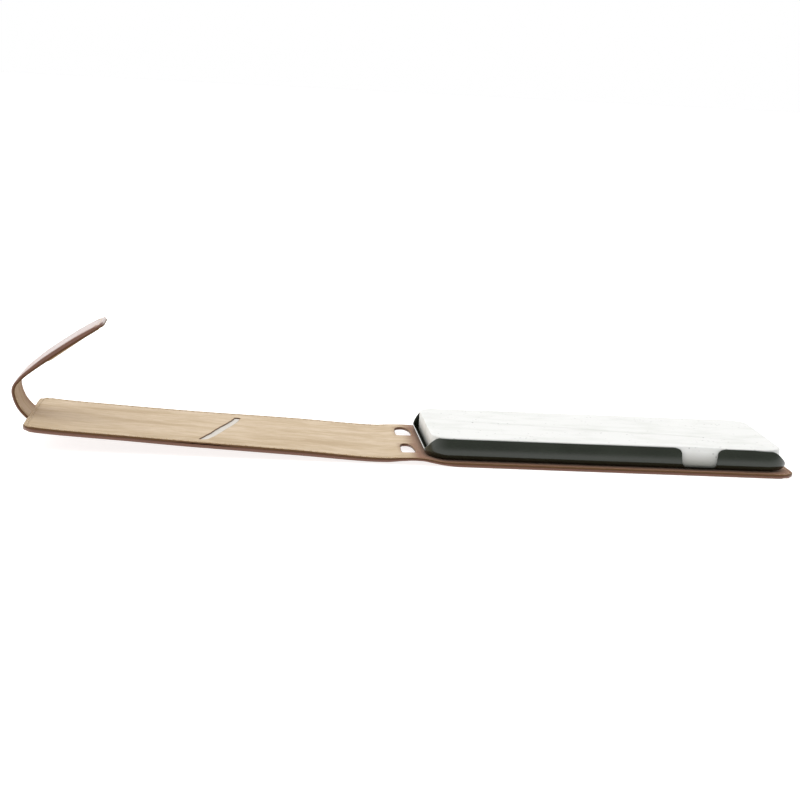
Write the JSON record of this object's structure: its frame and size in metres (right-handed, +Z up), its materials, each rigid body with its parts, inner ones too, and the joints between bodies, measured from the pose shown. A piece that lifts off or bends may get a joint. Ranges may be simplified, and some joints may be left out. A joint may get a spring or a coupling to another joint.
{
  "type": "flip phone case",
  "caption": "Leather flip case for a phone, lying open, with a clip-in shell, a windowed spine, a cover with a card slot and a curled magnetic strap.",
  "frame": {"origin": "on the back panel's flat underside, below the middle of the holder shell", "axes": "+X along the case from the cover towards the shell's far end, +Y across the case away from the button notch, +Z up out of the lining side"},
  "size_m": [0.3008, 0.076, 0.0462],
  "materials": {
    "outer_leather": "smooth waxed",
    "suede_lining": "matte suede",
    "thread": "waxed linen",
    "holder_plastic": "gloss moulded",
    "form_plastic": "matte cast",
    "board": "plain card",
    "tape": "satin",
    "steel": "brushed"
  },
  "bodies": {
    "back": {"back_leather": "outer_leather", "back_lining": "suede_lining", "keeper_plate": "steel", "back_thread": "thread", "shell_tape": "tape", "holder_shell": "holder_plastic", "form_block": "form_plastic"},
    "spine": {"spine_leather": "outer_leather", "spine_thread": "thread"},
    "cover": {"cover_leather": "outer_leather", "cover_board": "board", "cover_lining": "suede_lining", "cover_thread": "thread", "strap_root_leather": "outer_leather", "strap_root_lining": "suede_lining"},
    "strap_bend": {"strap_bend_leather": "outer_leather", "strap_bend_lining": "suede_lining"},
    "strap_tab": {"tab_leather": "outer_leather", "tab_magnet": "steel", "tab_lining": "suede_lining", "tab_thread": "thread"}
  },
  "joints": [
    {"name": "spine_fold", "type": "hinge", "parent": "back", "child": "spine", "pos_m": [-0.0714, 0, 0.0022], "axis": [0, 1, 0], "range_deg": [-86, 94]},
    {"name": "cover_fold", "type": "hinge", "parent": "spine", "child": "cover", "pos_m": [-0.08138, 0, 0.0015], "axis": [0, 1, 0], "range_deg": [-96.8, 83.2]},
    {"name": "strap_bend_fold", "type": "hinge", "parent": "cover", "child": "strap_bend", "pos_m": [-0.22615, 0, 0.01305], "axis": [0, 1, 0], "range_deg": [-30, 11.5]},
    {"name": "strap_tab_fold", "type": "hinge", "parent": "strap_bend", "child": "strap_tab", "pos_m": [-0.22745, 0, 0.02065], "axis": [0, 1, 0], "range_deg": [-60, 23]}
  ],
  "couplings": [
    {"joint": "strap_tab_fold", "follows": "strap_bend_fold", "ratio": 2}
  ]
}
